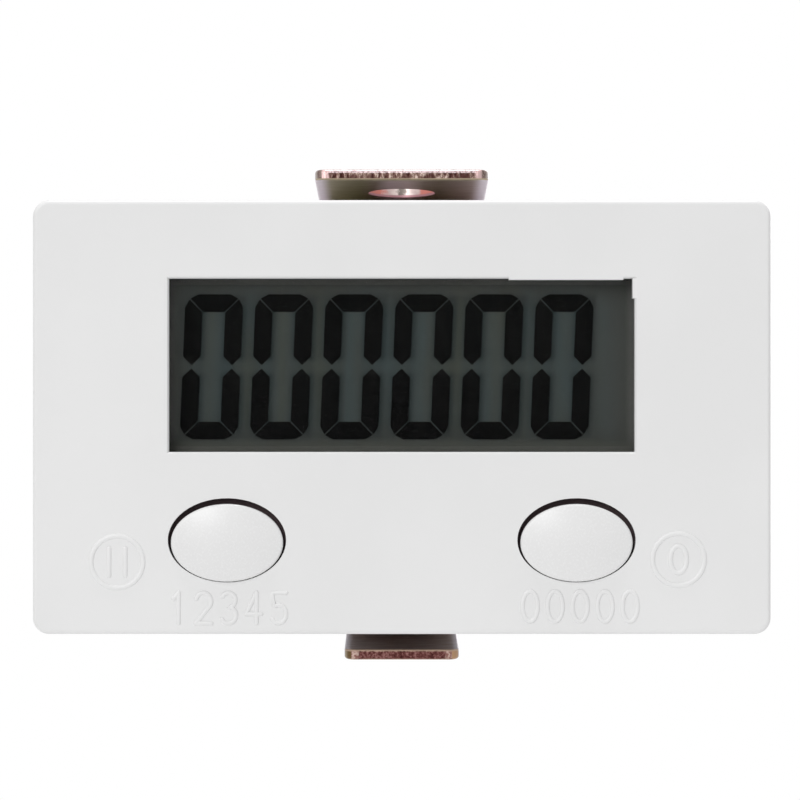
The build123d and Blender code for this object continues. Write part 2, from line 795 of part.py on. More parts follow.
def clamp_bracket():
    """Bent strip: a tapered base behind the case and two arms that flare forward."""
    slope = math.tan(math.radians(arm_flare_deg))
    thick = sheet_t / math.cos(math.radians(arm_flare_deg))
    arm_l = base_y - panel_room
    end_lean = sheet_t * math.sin(math.radians(arm_flare_deg))
    end_rise = sheet_t * math.cos(math.radians(arm_flare_deg))
    top_z = body_h / 2 + arm_top_gap
    low_z = -body_h / 2 - arm_low_gap
    inner = [(panel_room, top_z), (base_y, top_z - arm_l * slope),
             (base_y, low_z + arm_l * slope), (panel_room, low_z)]
    back = (arm_l + sheet_t) * slope
    outer = [(panel_room + end_lean, low_z - end_rise), (base_back_y, low_z + back - thick),
             (base_back_y, top_z - back + thick), (panel_room + end_lean, top_z + end_rise)]
    profile = make_face(Polyline(*inner, *outer, close=True))
    corners = profile.vertices()
    inner_bends = [v for v in corners if abs(v.X - base_y) < sheet_t / 4]
    profile = fillet(inner_bends, bend_r)
    outer_bends = [v for v in profile.vertices() if abs(v.X - base_back_y) < sheet_t / 4
                   and abs(v.Y) > body_h / 4]
    profile = fillet(outer_bends, bend_r + sheet_t)
    strip = extrude(Plane.YZ * profile, amount=arm_top_w / 2, both=True)
    reach = face_h
    start_z = body_h / 2 * taper_start_share
    plan = make_face(Polyline((-arm_top_w / 2, reach), (-arm_top_w / 2, start_z),
                              (-arm_low_w / 2, -start_z), (-arm_low_w / 2, -reach),
                              (arm_low_w / 2, -reach), (arm_low_w / 2, -start_z),
                              (arm_top_w / 2, start_z), (arm_top_w / 2, reach), close=True))
    waist = [vertex for vertex in plan.vertices() if abs(vertex.Y) < body_h / 2]
    plan = fillet(waist, blank_corner_r)
    strip &= slab(plan, 0, base_back_y + over)
    tips = [edge for edge in strip.edges() if edge.center().Y < panel_room + sheet_t
            and abs(edge.length - sheet_t) < sheet_t / 20]
    strip = fillet(tips, arm_corner_r)
    strip = fillet(skin_rim(strip, 1), rolled_edge_r)
    strip = fillet(skin_rim(strip, -1), inner_edge_r)
    strip -= rod(stud_r + bracket_stud_play, base_y - over, base_back_y + over)
    flare = math.radians(arm_flare_deg)
    hole_y = panel_room + bracket_hole_back * math.cos(flare) + sheet_t / 2 * math.sin(flare)
    hole_z = top_z - bracket_hole_back * math.sin(flare) + sheet_t / 2 * math.cos(flare)
    bore = Cylinder(bracket_hole_r, sheet_t + 2 * over)
    print("bracket hole middle", round(hole_y, 3), round(hole_z, 3))
    return strip - Pos(0, hole_y, hole_z) * Rot(-arm_flare_deg, 0, 0) * bore


def main():
    os.makedirs("parts", exist_ok=True)
    save("front_shell", front_shell())
    save("rear_case", rear_case())
    save("battery_door", battery_door())
    save("lcd_holder", display_holder())
    save("connector_strip_upper", connector_strip(1))
    save("connector_strip_lower", connector_strip(-1))
    for name, sheet in display_sheets().items():
        save(name, sheet)
    save("lcd_segments", segments())
    legs = []
    for name, x in button_places.items():
        save(name + "_button_cap", button_cap(x))
        pieces, terminals = push_switch(x)
        legs += terminals
        for piece_name, piece in pieces.items():
            save(name + "_switch_" + piece_name, piece)
    save("switch_terminals", legs)
    save("circuit_board", circuit_board())
    save("controller_blob", controller_blob())
    save("timing_crystal", timing_crystal())
    save("filter_capacitor", filter_capacitor())
    save("board_capacitors", board_chips(capacitor_shares, chip_capacitor_h))
    save("board_resistors", board_chips(resistor_shares, chip_resistor_h))
    glass, leads = reed_switch()
    save("reed_switch_glass", glass)
    save("reed_switch_leads", leads)
    can, sleeve = battery_cell()
    save("battery_cell", can)
    save("battery_sleeve", sleeve)
    save("battery_spring", battery_spring())
    save("battery_plate_contact", battery_contact(tub_left_x))
    save("battery_spring_contact", battery_contact(tub_right_x - contact_t))
    save("case_screws", [tapping_screw(x, z, split_y + boss_floor, case_screw_r, case_screw_l,
                                       case_screw_head_r, case_screw_head_t)
                         for x, z in boss_places])
    save("board_screws", [tapping_screw(x, z, board_back_y, board_screw_r, board_screw_l,
                                        board_screw_head_r, board_screw_head_t)
                          for x, z in post_places])
    save("clamp_stud", clamp_stud())
    save("clamp_washer", clamp_washer())
    save("clamp_nut", clamp_nut())
    save("clamp_bracket", clamp_bracket())
    print("bezel", round(face_w, 2), "by", round(face_h, 2), "body", round(body_w, 2), "by",
          round(body_h, 2), "rear face at", round(rear_y, 2), "stud end at", round(stud_end_y, 2))


main()
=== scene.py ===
import math
from collections import namedtuple

import bmesh
import bpy
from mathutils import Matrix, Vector


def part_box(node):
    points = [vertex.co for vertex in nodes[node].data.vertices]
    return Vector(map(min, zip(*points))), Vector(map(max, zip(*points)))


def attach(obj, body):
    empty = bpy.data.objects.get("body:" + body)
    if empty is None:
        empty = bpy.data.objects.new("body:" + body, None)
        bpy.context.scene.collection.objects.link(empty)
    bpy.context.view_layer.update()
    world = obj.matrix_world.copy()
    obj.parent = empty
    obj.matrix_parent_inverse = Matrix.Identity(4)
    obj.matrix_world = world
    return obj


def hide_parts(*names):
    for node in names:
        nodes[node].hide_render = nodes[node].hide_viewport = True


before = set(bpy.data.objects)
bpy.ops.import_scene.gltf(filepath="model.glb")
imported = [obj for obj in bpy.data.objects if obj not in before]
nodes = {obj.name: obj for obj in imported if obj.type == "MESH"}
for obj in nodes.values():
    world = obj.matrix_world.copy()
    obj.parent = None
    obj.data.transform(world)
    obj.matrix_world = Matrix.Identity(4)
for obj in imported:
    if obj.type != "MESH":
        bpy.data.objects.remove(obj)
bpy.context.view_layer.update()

# Lengths are in metres, in the frame of the model: X right along the face, Y from the
# face into the case, Z up. One millimetre, for sizes that are easier to read so:
mm = 0.001

# Where the face's outline lies in the photograph, in its 800 by 800 pixels
photo_px = 800
face_left_px = 32.5
face_right_px = 771.0
face_top_px = 200.5
face_low_px = 633.7

# The camera looks along Y at a face that is square to it
camera_distance = 300 * mm
clip_start = 10 * mm
sensor_width_mm = 36.0

face_low, face_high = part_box("front_shell")
face_y = face_low.y
face_middle = (face_low + face_high) / 2
metres_per_px = (face_high.x - face_low.x) / (face_right_px - face_left_px)
camera_x = face_middle.x - ((face_left_px + face_right_px) / 2 - photo_px / 2) * metres_per_px
camera_z = face_middle.z + ((face_top_px + face_low_px) / 2 - photo_px / 2) * metres_per_px


def on_face(px, py):
    """The place on the face, as x and z, that a pixel of the photograph shows."""
    return (camera_x + (px - photo_px / 2) * metres_per_px,
            camera_z - (py - photo_px / 2) * metres_per_px)


# Node trees

def add(tree, kind, values=(), **settings):
    """One shader node. Values fill its inputs, and settings are its properties."""
    node = tree.nodes.new(kind)
    for name, value in settings.items():
        setattr(node, name, value)
    for name, value in dict(values).items():
        if isinstance(value, bpy.types.NodeSocket):
            tree.links.new(value, node.inputs[name])
        else:
            node.inputs[name].default_value = value
    return node


def noise(tree, place, scale, detail=2.0, rough=0.5):
    values = {"Vector": place, "Scale": scale, "Detail": detail, "Roughness": rough}
    return add(tree, "ShaderNodeTexNoise", values).outputs[0]


def stretched(tree, place, x, y, z):
    """The same coordinates, scaled along each axis."""
    return add(tree, "ShaderNodeMapping", {"Vector": place, "Scale": (x, y, z)}).outputs[0]


def parts_of(tree, place):
    """The x, y and z of a vector."""
    return add(tree, "ShaderNodeSeparateXYZ", {0: place}).outputs


def maths(tree, operation, first, second=0.0):
    return add(tree, "ShaderNodeMath", {0: first, 1: second}, operation=operation).outputs[0]


def between(tree, value, low, high, to_low=0.0, to_high=1.0):
    """Value carried smoothly from one range to another, and held at its ends."""
    values = {0: value, 1: low, 2: high, 3: to_low, 4: to_high}
    return add(tree, "ShaderNodeMapRange", values, interpolation_type="SMOOTHSTEP").outputs[0]


def plateau(tree, value, start, low, high, end):
    """One while a value is from low to high, falling to nothing at start and at end."""
    rise = between(tree, value, start, low)
    return maths(tree, "MULTIPLY", rise, between(tree, value, end, high))


def mixed_number(tree, factor, first, second):
    """The first number where the factor is 0, and the second where it is 1."""
    values = {0: factor, 2: first, 3: second}
    return add(tree, "ShaderNodeMix", values, data_type="FLOAT").outputs[0]


def mixed(tree, factor, first, second):
    """Two colours, mixed by a factor."""
    colours = [c if isinstance(c, bpy.types.NodeSocket) else (*c, 1.0) for c in (first, second)]
    node = add(tree, "ShaderNodeMix", {0: factor, 6: colours[0], 7: colours[1]},
               data_type="RGBA")
    return node.outputs[2]


def tones(tree, factor, *stops):
    """A run of colours along a factor, each stop a position and a colour."""
    node = add(tree, "ShaderNodeValToRGB", {"Fac": factor})
    elements = node.color_ramp.elements
    while len(elements) < len(stops):
        elements.new(0.5)
    for element, (position, colour) in zip(elements, stops):
        element.position = position
        element.color = (*colour, 1.0)
    return node.outputs[0]


def relief(tree, height, depth):
    values = {"Height": height, "Distance": depth, "Strength": 1.0}
    return add(tree, "ShaderNodeBump", values).outputs[0]


def shade(level):
    """A neutral colour."""
    return (level, level, level)


def surface(name, roughness, **sockets):
    """A new material. Returns it with its tree, its shader and the piece's own coordinates."""
    material = bpy.data.materials.new(name)
    material.use_nodes = True
    tree = material.node_tree
    shader = tree.nodes["Principled BSDF"]
    shader.inputs["Roughness"].default_value = roughness
    for socket, value in sockets.items():
        shader.inputs[socket.replace("_", " ")].default_value = value
    place = add(tree, "ShaderNodeTexCoord").outputs["Object"]
    return material, tree, shader, place


def feed(tree, shader, **sources):
    """Links outputs of nodes to the shader's sockets."""
    for socket, source in sources.items():
        tree.links.new(source, shader.inputs[socket.replace("_", " ")])


def piece_of(mesh, name, material):
    """Turns a mesh under construction into an object of the scene."""
    data = bpy.data.meshes.new(name)
    mesh.to_mesh(data)
    mesh.free()
    data.materials.append(material)
    piece = bpy.data.objects.new(name, data)
    bpy.context.scene.collection.objects.link(piece)
    return piece


# Finishes

# How deep the fine relief of each kind of surface is
moulded_relief = 0.004 * mm
rubber_relief = 0.01 * mm
cap_relief = 0.00005 * mm
film_relief = 0.002 * mm
resin_relief = 0.004 * mm
stamped_relief = 0.003 * mm
turned_relief = 0.004 * mm
sheared_relief = 0.05 * mm
track_relief = 0.02 * mm
wrinkle_relief = 0.01 * mm

# The painted shade on a button's skirt starts this far behind the face, and blends in over the
# fade
skirt_depth = 0.35 * mm
skirt_fade = 0.02 * mm


def moulded(name, colour, roughness, grain=2600.0, depth=moulded_relief):
    """Moulded plastic: a fine grain, faint flow shades and an uneven gloss."""
    material, tree, shader, place = surface(name, roughness)
    flow = noise(tree, place, 55.0, 3.0)
    darker = tuple(0.975 * c for c in colour)
    grains = noise(tree, place, grain, 3.0, 0.6)
    feed(tree, shader,
         Base_Color=mixed(tree, between(tree, flow, 0.35, 0.65), colour, darker),
         Roughness=between(tree, grains, 0.2, 0.8, roughness - 0.05, roughness + 0.05),
         Normal=relief(tree, grains, depth))
    return material


def button_finish(name):
    """A white crown, on a skirt painted near black as the shade in the gap round it."""
    white = shade(0.757)
    # Painted shade: the skirt, seen in the gap round the cap, is painted near black
    dark = (0.074, 0.050, 0.054)
    roughness = 0.27
    material, tree, shader, place = surface(name, roughness)
    inward = parts_of(tree, place)[1]
    skirt_y = face_y + skirt_depth
    skirt = between(tree, inward, skirt_y, skirt_y + skirt_fade)
    grains = noise(tree, place, 4500.0, 2.0)
    tint = mixed(tree, between(tree, noise(tree, place, 90.0), 0.3, 0.7),
                 white, tuple(0.99 * c for c in white))
    gloss = between(tree, grains, 0.2, 0.8, roughness - 0.012, roughness + 0.012)
    feed(tree, shader,
         Base_Color=mixed(tree, skirt, tint, dark),
         Roughness=mixed_number(tree, skirt, gloss, 0.95),
         Normal=relief(tree, grains, cap_relief))
    return material


def see_through(name, alpha, roughness, colour):
    """A clear sheet with faint streaks in its gloss."""
    material, tree, shader, place = surface(name, roughness, Alpha=alpha,
                                            Specular_IOR_Level=0.0)
    wipes = noise(tree, stretched(tree, place, 60.0, 60.0, 260.0), 1.0, 2.0)
    feed(tree, shader,
         Base_Color=mixed(tree, wipes, colour, tuple(1.4 * c for c in colour)),
         Roughness=between(tree, wipes, 0.3, 0.7, roughness, roughness + 0.08))
    return material


# How far the display's film runs under the window's rim, how far the painted light at the
# sides and the foot fades inward, and how far the tones behind the digits fade round them
film_margin = 0.8 * mm
side_fade = 0.9 * mm
foot_fade = 1.35 * mm
digits_fade = 2.0 * mm

# The digits' pitch and slant, how far the shade round them reaches past their ends, and
# where the strokes' tips start and end, measured from the digits' middle
digit_pitch = 6.51 * mm
digit_slant = math.radians(2.4)
shade_reach = 0.4 * mm
tip_start = 0.2 * mm
tip_end = 1.0 * mm


def painted_light_at_edges(tree, place, colour, foot_light):
    """A colour of the display, made paler by painted light at the window's sides and foot."""
    low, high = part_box("lcd_front_polariser")
    left_x = low.x + film_margin
    right_x = high.x - film_margin
    foot_z = low.z + film_margin
    x, _, z = parts_of(tree, place)
    left = between(tree, x, left_x + side_fade, left_x)
    right = between(tree, x, right_x - side_fade, right_x)
    foot = between(tree, z, foot_z + foot_fade, foot_z)
    # Painted light: paler colours at the window's sides and foot, lifting the shade of its rim
    left_light = (0.116, 0.118, 0.112)
    right_light = (0.140, 0.142, 0.132)
    colour = mixed(tree, left, colour, left_light)
    colour = mixed(tree, right, colour, right_light)
    return mixed(tree, foot, colour, foot_light)


def behind_digits(tree, place):
    """One behind the digits, fading to nothing round them."""
    low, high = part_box("lcd_segments")
    x, _, z = parts_of(tree, place)
    across = plateau(tree, x, low.x - digits_fade, low.x + digits_fade,
                     high.x - digits_fade, high.x + 2 * digits_fade)
    upright = plateau(tree, z, low.z - digits_fade, low.z + digits_fade,
                      high.z - digits_fade, high.z + digits_fade)
    return maths(tree, "MULTIPLY", across, upright)


def stroke_shade(tree, place):
    """Shade that the digits' upright strokes cast round them: none at 0 and full at 1."""
    low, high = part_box("lcd_segments")
    middle = (low + high) / 2
    x, _, z = parts_of(tree, place)
    above = maths(tree, "SUBTRACT", z, middle.z)
    lean = maths(tree, "MULTIPLY", above, math.tan(digit_slant))
    along = maths(tree, "SUBTRACT", maths(tree, "SUBTRACT", x, middle.x), lean)

    # From the middle of one gap between two digits, at 0, to the middle of the next, at 1
    phase = maths(tree, "FRACT", maths(tree, "DIVIDE", along, digit_pitch))
    shades = tones(tree, phase, (0.0, shade(0.32)), (0.08, shade(0.46)), (0.34, shade(0.92)),
                   (0.43, shade(0.12)), (0.5, shade(0.0)), (0.6, shade(0.12)),
                   (0.66, shade(0.56)), (0.92, shade(0.90)), (1.0, shade(0.32)))
    across = plateau(tree, x, low.x - shade_reach, low.x, high.x, high.x + 2 * shade_reach)
    upright = plateau(tree, z, low.z - shade_reach, low.z + shade_reach,
                      high.z - shade_reach, high.z + shade_reach)
    waist = between(tree, maths(tree, "ABSOLUTE", above), tip_start, tip_end, 0.35, 1.0)
    upright = maths(tree, "MULTIPLY", upright, waist)
    return maths(tree, "MULTIPLY", shades, maths(tree, "MULTIPLY", across, upright))


def display_ground(name):
    """The dark grey green behind the digits, in faint upright bands of blue and olive, with
    painted shade round the strokes and painted light at the window's sides and foot.
    """
    material, tree, shader, place = surface(name, 0.6, Specular_IOR_Level=0.0)
    bands = noise(tree, stretched(tree, place, 330.0, 0.0, 45.0), 1.0, 2.0)
    blue_green = (0.063, 0.084, 0.087)
    middle = (0.069, 0.080, 0.076)
    olive = (0.075, 0.081, 0.068)
    shaded = (0.030, 0.039, 0.039)
    border = (0.083, 0.086, 0.080)
    # Painted light along the window's foot
    foot = (0.120, 0.126, 0.108)
    ground = tones(tree, bands, (0.3, blue_green), (0.5, middle), (0.7, olive))
    ground = mixed(tree, stroke_shade(tree, place), ground, shaded)
    colour = mixed(tree, behind_digits(tree, place), border, ground)
    grains = noise(tree, place, 1500.0, 2.0)
    feed(tree, shader,
         Base_Color=painted_light_at_edges(tree, place, colour, foot),
         Normal=relief(tree, grains, film_relief))
    return material


def edge_seal(name):
    """Grey resin round the display, paler along its foot and sides with painted light."""
    material, tree, shader, place = surface(name, 0.6, Specular_IOR_Level=0.0)
    resin = (0.114, 0.115, 0.108)
    # Painted light along the window's foot
    foot = (0.134, 0.138, 0.124)
    grains = noise(tree, place, 900.0, 3.0)
    feed(tree, shader,
         Base_Color=painted_light_at_edges(tree, place, resin, foot),
         Normal=relief(tree, grains, resin_relief))
    return material


def dark_segment(name):
    """The near black of a lit segment, in faint upright streaks."""
    material, tree, shader, place = surface(name, 0.5, Specular_IOR_Level=0.0)
    bluish = (0.0064, 0.0064, 0.0068)
    reddish = (0.0084, 0.0080, 0.0080)
    streaks = noise(tree, stretched(tree, place, 900.0, 0.0, 60.0), 1.0, 2.0)
    feed(tree, shader, Base_Color=tones(tree, streaks, (0.3, bluish), (0.7, reddish)))
    return material


def metal(name, colour, roughness, run=(1.0, 1.0, 1.0)):
    """Metal with fine marks that run across the axes that run makes dense."""
    material, tree, shader, place = surface(name, roughness, Metallic=1.0)
    marks = noise(tree, stretched(tree, place, *run), 900.0, 4.0, 0.65)
    dull = noise(tree, place, 240.0, 3.0)
    darker = tuple(0.78 * c for c in colour)
    feed(tree, shader,
         Base_Color=mixed(tree, between(tree, dull, 0.35, 0.7), colour, darker),
         Roughness=between(tree, marks, 0.2, 0.8, roughness - 0.08, roughness + 0.12),
         Normal=relief(tree, marks, stamped_relief))
    return material


def turned(name, colour, roughness):
    """Metal turned on a lathe: rings about the Y axis."""
    material, tree, shader, place = surface(name, roughness, Metallic=1.0)
    x, y, z = parts_of(tree, place)
    radius = maths(tree, "SQRT", maths(tree, "ADD", maths(tree, "MULTIPLY", x, x),
                                       maths(tree, "MULTIPLY", z, z)))
    around = add(tree, "ShaderNodeCombineXYZ", {0: radius, 1: y}).outputs[0]
    rings = noise(tree, around, 5200.0, 2.0)
    dull = noise(tree, place, 300.0, 3.0)
    darker = tuple(0.8 * c for c in colour)
    feed(tree, shader,
         Base_Color=mixed(tree, between(tree, dull, 0.35, 0.7), colour, darker),
         Roughness=between(tree, rings, 0.2, 0.8, roughness - 0.06, roughness + 0.1),
         Normal=relief(tree, rings, turned_relief))
    return material


# Sizes of the bracket that its finish follows: the sheet, the lower arm's half width, the
# arms' flare, the hole with its distance from the upper arm's end, and how far back the
# ends reach
sheet_t = 1.0 * mm
lower_arm_half = 5.4 * mm
arm_flare = math.radians(4.0)
hole_r = 3.25 * mm
hole_back = 9.7 * mm
hole_reach = 0.35 * mm
end_depth = 1.3 * mm

# Where the tones of the film change, each from none to full: with height on the arms, back
# from their ends, and in from their sides
# With height the lower arm darkens to painted shade
arm_tones = (9.0 * mm, 17.0 * mm)
lip_fade = (end_depth, 0.3 * mm)
# Painted reflections lie on the rims, in from the arms' sides
upper_rim_fade = (1.6 * mm, 0.4 * mm)
lower_rim_fade = (0.75 * mm, 0.1 * mm)

# The same up the wall of the hole
wall_foot_fade = (0.32 * mm, 0.22 * mm)
wall_edge_fade = (0.10 * mm, 0.04 * mm)

# The same on the sheared ends, up through the sheet
roll_fade = (0.72 * mm, 0.84 * mm)
inner_line_fade = (0.20 * mm, 0.10 * mm)
top_rim_fade = (0.86 * mm, 0.98 * mm)
low_rim_fade = (0.22 * mm, 0.14 * mm)

# The same on the sheared ends, in from their sides
patch_fade = (1.80 * mm, 1.45 * mm)
corner_fade = (0.70 * mm, 0.60 * mm)
outermost_fade = (0.34 * mm, 0.12 * mm)
left_half_fade = (1.0 * mm, -1.0 * mm)

# How ragged the edges between those tones are
rim_raggedness = 0.2 * mm
patch_raggedness = 0.8 * mm

# A point of the bracket: its coordinates, which way it faces, whether it is on the upper
# half, and how far it lies in from the strip's side
Spot = namedtuple("Spot", "x y z facing upper inset")


def bracket_spot(tree, place):
    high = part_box("clamp_bracket")[1]
    x, y, z = parts_of(tree, place)
    facing = parts_of(tree, add(tree, "ShaderNodeTexCoord").outputs["Normal"])
    upper = maths(tree, "GREATER_THAN", z, 0.0)
    half = mixed_number(tree, upper, lower_arm_half, high.x)
    inset = maths(tree, "SUBTRACT", half, maths(tree, "ABSOLUTE", x))
    return Spot(x, y, z, facing, upper, inset)


def bracket_film(tree, place, spot):
    """Passivated film: straw and olive with rose and violet clouds, bands that run back along
    the upper arm, a lower arm darkened with painted shade and pale rims that are painted
    reflections. Returns its colour with where the rims are."""
    low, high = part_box("clamp_bracket")
    olive = (0.36, 0.31, 0.13)
    straw = (0.46, 0.36, 0.15)
    rose = (0.44, 0.28, 0.20)
    violet = (0.36, 0.26, 0.32)
    green = (0.28, 0.32, 0.20)
    pale_straw = (0.46, 0.38, 0.17)
    clouds = noise(tree, stretched(tree, place, 1.0, 0.5, 1.0), 160.0, 3.0)
    swirls = noise(tree, stretched(tree, place, 1.0, 1.0, 0.6), 90.0, 4.0, 0.6)
    film = tones(tree, swirls, (0.30, olive), (0.42, straw), (0.50, rose), (0.57, violet),
                 (0.63, green), (0.72, pale_straw))

    # Bands across the upper arm, from its left side to its right, and a lower arm darkened
    # with painted shade
    on_upper = between(tree, spot.z, *arm_tones)
    on_lower = between(tree, maths(tree, "SUBTRACT", 0.0, spot.z), *arm_tones)
    drift = maths(tree, "MULTIPLY", maths(tree, "SUBTRACT", clouds, 0.5), 0.35)
    across = maths(tree, "ADD", maths(tree, "DIVIDE", spot.x, high.x), drift)
    lively = tones(tree, between(tree, across, -1.0, 1.0),
                   (0.0, (0.36, 0.32, 0.20)), (0.17, (0.25, 0.215, 0.11)),
                   (0.30, (0.20, 0.13, 0.09)), (0.42, (0.48, 0.36, 0.38)),
                   (0.58, (0.50, 0.38, 0.37)), (0.70, (0.22, 0.145, 0.10)),
                   (0.82, (0.21, 0.15, 0.095)), (1.0, (0.40, 0.29, 0.26)))
    # Painted shade: the lower arm, under the case, is painted dark
    shaded_lower_arm = tones(tree, clouds, (0.35, (0.12, 0.060, 0.040)), (0.50, (0.14, 0.083, 0.070)),
                   (0.65, (0.10, 0.064, 0.042)))
    film = mixed(tree, on_upper, film, lively)
    film = mixed(tree, on_lower, film, shaded_lower_arm)

    lip = between(tree, maths(tree, "SUBTRACT", spot.y, low.y), *lip_fade)
    lip_colour = (0.46, 0.40, 0.27)
    film = mixed(tree, maths(tree, "MULTIPLY", spot.upper, lip), film, lip_colour)
    upper_rim = between(tree, spot.inset, *upper_rim_fade)
    lower_rim = between(tree, spot.inset, *lower_rim_fade)
    rim = maths(tree, "MAXIMUM", maths(tree, "MULTIPLY", on_upper, upper_rim),
                maths(tree, "MULTIPLY", on_lower, lower_rim))
    # Painted reflection: pale rims along the arms' sides, for the white background seen in their
    # rounded edges
    lower_rim_reflection = (0.36, 0.32, 0.36)
    upper_rim_reflection = (0.70, 0.61, 0.68)
    rim_reflection = mixed(tree, spot.upper, lower_rim_reflection, upper_rim_reflection)
    return mixed(tree, rim, film, rim_reflection), rim


def bracket_hole(tree, place, spot):
    """Wall of the hole, with painted light in its middle. Returns its colour with where the wall
    is.
    """
    low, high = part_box("clamp_bracket")
    behind = maths(tree, "SUBTRACT", spot.y, low.y + hole_back)
    spread = maths(tree, "ADD", maths(tree, "MULTIPLY", spot.x, spot.x),
                   maths(tree, "MULTIPLY", behind, behind))
    near = maths(tree, "LESS_THAN", spread, (hole_r + hole_reach) ** 2)
    upright = maths(tree, "LESS_THAN", maths(tree, "ABSOLUTE", spot.facing[2]), 0.5)
    on_wall = maths(tree, "MULTIPLY", maths(tree, "MULTIPLY", near, upright), spot.upper)

    specks = noise(tree, place, 1400.0, 3.0)
    reach = maths(tree, "DIVIDE", maths(tree, "ABSOLUTE", spot.x), hole_r)
    across_wall = maths(tree, "ADD", reach,
                 maths(tree, "MULTIPLY", maths(tree, "SUBTRACT", specks, 0.5), 0.6))
    dark_middle = (0.20, 0.17, 0.15)
    # Painted light: the wall's middle is painted near white, for the white background beyond the
    # hole
    bright = (0.80, 0.70, 0.66)
    pink = (0.62, 0.50, 0.48)
    red = (0.64, 0.23, 0.19)
    foot = (0.42, 0.22, 0.25)
    edge = (0.10, 0.04, 0.04)
    wall = tones(tree, across_wall, (0.05, dark_middle), (0.16, bright), (0.42, pink), (0.57, red))
    fall = maths(tree, "MULTIPLY", maths(tree, "SUBTRACT", spot.y, low.y), math.tan(arm_flare))
    height_in = maths(tree, "ADD", maths(tree, "SUBTRACT", spot.z, high.z - sheet_t), fall)
    wall = mixed(tree, between(tree, height_in, *wall_foot_fade), wall, foot)
    wall = mixed(tree, between(tree, height_in, *wall_edge_fade), wall, edge)
    return wall, on_wall


def bracket_ends(tree, place, spot):
    """Sheared ends of the arms, torn between rolled rims and pale corners, with painted
    highlights on the upper arm's rim, inner line and corners. Returns their colour with where
    they are and how they are torn."""
    low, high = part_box("clamp_bracket")
    on_end = maths(tree, "MULTIPLY", maths(tree, "LESS_THAN", spot.facing[1], -0.3),
                   maths(tree, "LESS_THAN", spot.y, low.y + end_depth))
    level = mixed_number(tree, spot.upper, maths(tree, "SUBTRACT", spot.z, low.z),
                         maths(tree, "SUBTRACT", spot.z, high.z - sheet_t))
    tears = noise(tree, stretched(tree, place, 3000.0, 500.0, 1300.0), 1.0, 4.0, 0.6)
    grit = noise(tree, place, 3600.0, 3.0, 0.7)
    blotches = noise(tree, stretched(tree, place, 800.0, 100.0, 100.0), 1.0, 2.0)

    # The torn middle: streaks on the upper arm, and denser marks on the lower one
    blotch = (0.05, 0.020, 0.018)
    streaks = tones(tree, tears, (0.38, (0.030, 0.011, 0.009)), (0.47, (0.075, 0.037, 0.032)),
                    (0.55, (0.155, 0.100, 0.082)), (0.66, (0.42, 0.33, 0.29)))
    streaks = mixed(tree, between(tree, blotches, 0.52, 0.72), streaks, blotch)
    marks = maths(tree, "ADD", maths(tree, "MULTIPLY", tears, 0.4),
                  maths(tree, "MULTIPLY", grit, 0.6))
    dense = tones(tree, marks, (0.38, (0.043, 0.012, 0.011)), (0.50, (0.122, 0.044, 0.040)),
                  (0.60, (0.26, 0.130, 0.120)))
    torn = mixed(tree, spot.upper, dense, streaks)

    # The upper arm's rolled rim, pale partly with a painted highlight, and the paler patches
    # towards both arms' corners, a painted highlight on the upper arm
    ragged = maths(tree, "ADD", level, maths(tree, "MULTIPLY", grit, rim_raggedness))
    rolled = between(tree, ragged, *roll_fade)
    dull_roll = (0.27, 0.20, 0.20)
    # Painted highlight, with the rollover's own bare metal: the rim's pale pink
    bare_roll_highlight = (0.52, 0.42, 0.43)
    rolled_rim_and_highlight = mixed(tree, between(tree, grit, 0.36, 0.54), dull_roll, bare_roll_highlight)
    torn = mixed(tree, maths(tree, "MULTIPLY", rolled, spot.upper), torn, rolled_rim_and_highlight)
    uneven = maths(tree, "ADD", spot.inset, maths(tree, "MULTIPLY", tears, patch_raggedness))
    patch = between(tree, uneven, *patch_fade)
    pale_mottle = (0.50, 0.36, 0.31)
    dark_mottle = (0.22, 0.105, 0.09)
    # Painted highlight: the upper arm's pale patch towards its corners
    patch_highlight = (0.53, 0.37, 0.36)
    mottled = mixed(tree, between(tree, grit, 0.40, 0.60), pale_mottle, dark_mottle)
    torn = mixed(tree, patch, torn, mixed(tree, spot.upper, mottled, patch_highlight))

    # The corners, dark on the lower arm's left, and speckled on the upper arm with a painted
    # highlight at its outermost edge
    corner = between(tree, spot.inset, *corner_fade)
    outermost = between(tree, spot.inset, *outermost_fade)
    left = between(tree, spot.x, *left_half_fade)
    amber = (0.38, 0.23, 0.13)
    dark_amber = (0.13, 0.080, 0.035)
    grey_amber = (0.29, 0.23, 0.15)
    low_corner = mixed(tree, left, amber, mixed(tree, outermost, dark_amber, grey_amber))
    pale_speck = (0.25, 0.18, 0.16)
    dark_speck = (0.12, 0.075, 0.065)
    # Painted highlight at the upper arm's outermost corners
    edge_highlight = (0.40, 0.35, 0.32)
    speckled = mixed(tree, between(tree, grit, 0.45, 0.60), pale_speck, dark_speck)
    speckled = mixed(tree, outermost, speckled, edge_highlight)
    torn = mixed(tree, corner, torn, mixed(tree, spot.upper, low_corner, speckled))

    # The upper arm's inner line, a painted highlight, and the lower arm's two rims
    inner_line = maths(tree, "MULTIPLY", spot.upper, between(tree, level, *inner_line_fade))
    # Painted highlight along the upper arm's inner line
    line_highlight = (0.44, 0.36, 0.25)
    torn = mixed(tree, inner_line, torn, line_highlight)
    rims = maths(tree, "MAXIMUM", between(tree, ragged, *top_rim_fade),
                 between(tree, ragged, *low_rim_fade))
    rims = maths(tree, "MULTIPLY", maths(tree, "SUBTRACT", 1.0, spot.upper), rims)
    rims_colour = (0.44, 0.32, 0.24)
    return mixed(tree, rims, torn, rims_colour), on_end, tears


